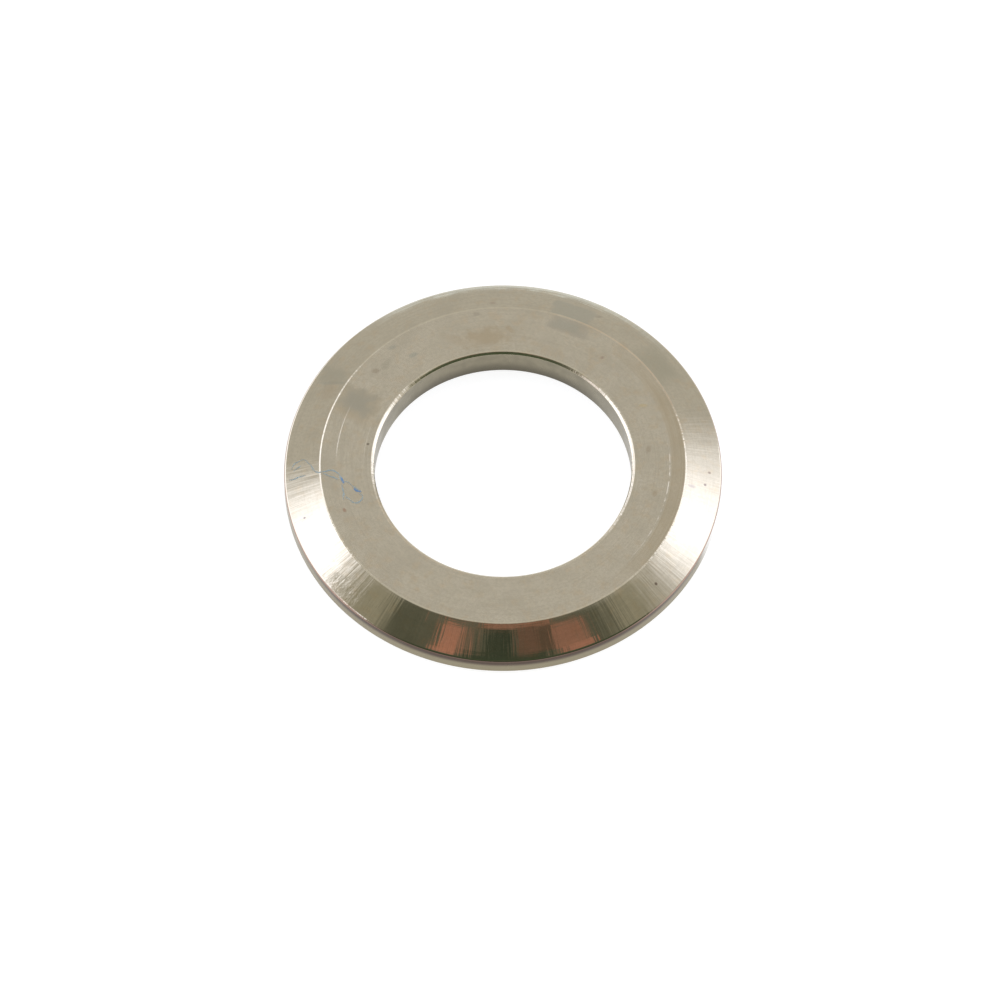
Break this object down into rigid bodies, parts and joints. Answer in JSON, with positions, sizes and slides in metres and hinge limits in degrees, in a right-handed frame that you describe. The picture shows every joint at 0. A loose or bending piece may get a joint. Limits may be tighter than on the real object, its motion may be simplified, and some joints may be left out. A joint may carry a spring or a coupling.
{
  "type": "dress washer",
  "caption": "Flat round dress washer with a plain bore, a satin upper face and a wide polished bevel that falls to a low rim, worn under the nut of a threaded bushing.",
  "frame": {"origin": "where the bore's axis meets the plane of the seat, the flat underside", "axes": "+Z along the bore's axis, out of the flat upper face; the washer is round, so +X and +Y are free"},
  "size_m": [0.0164, 0.0164, 0.0013],
  "materials": {
    "nickel_plate": "satin"
  },
  "bodies": {
    "root": {"dress_washer": "nickel_plate"}
  },
  "joints": []
}
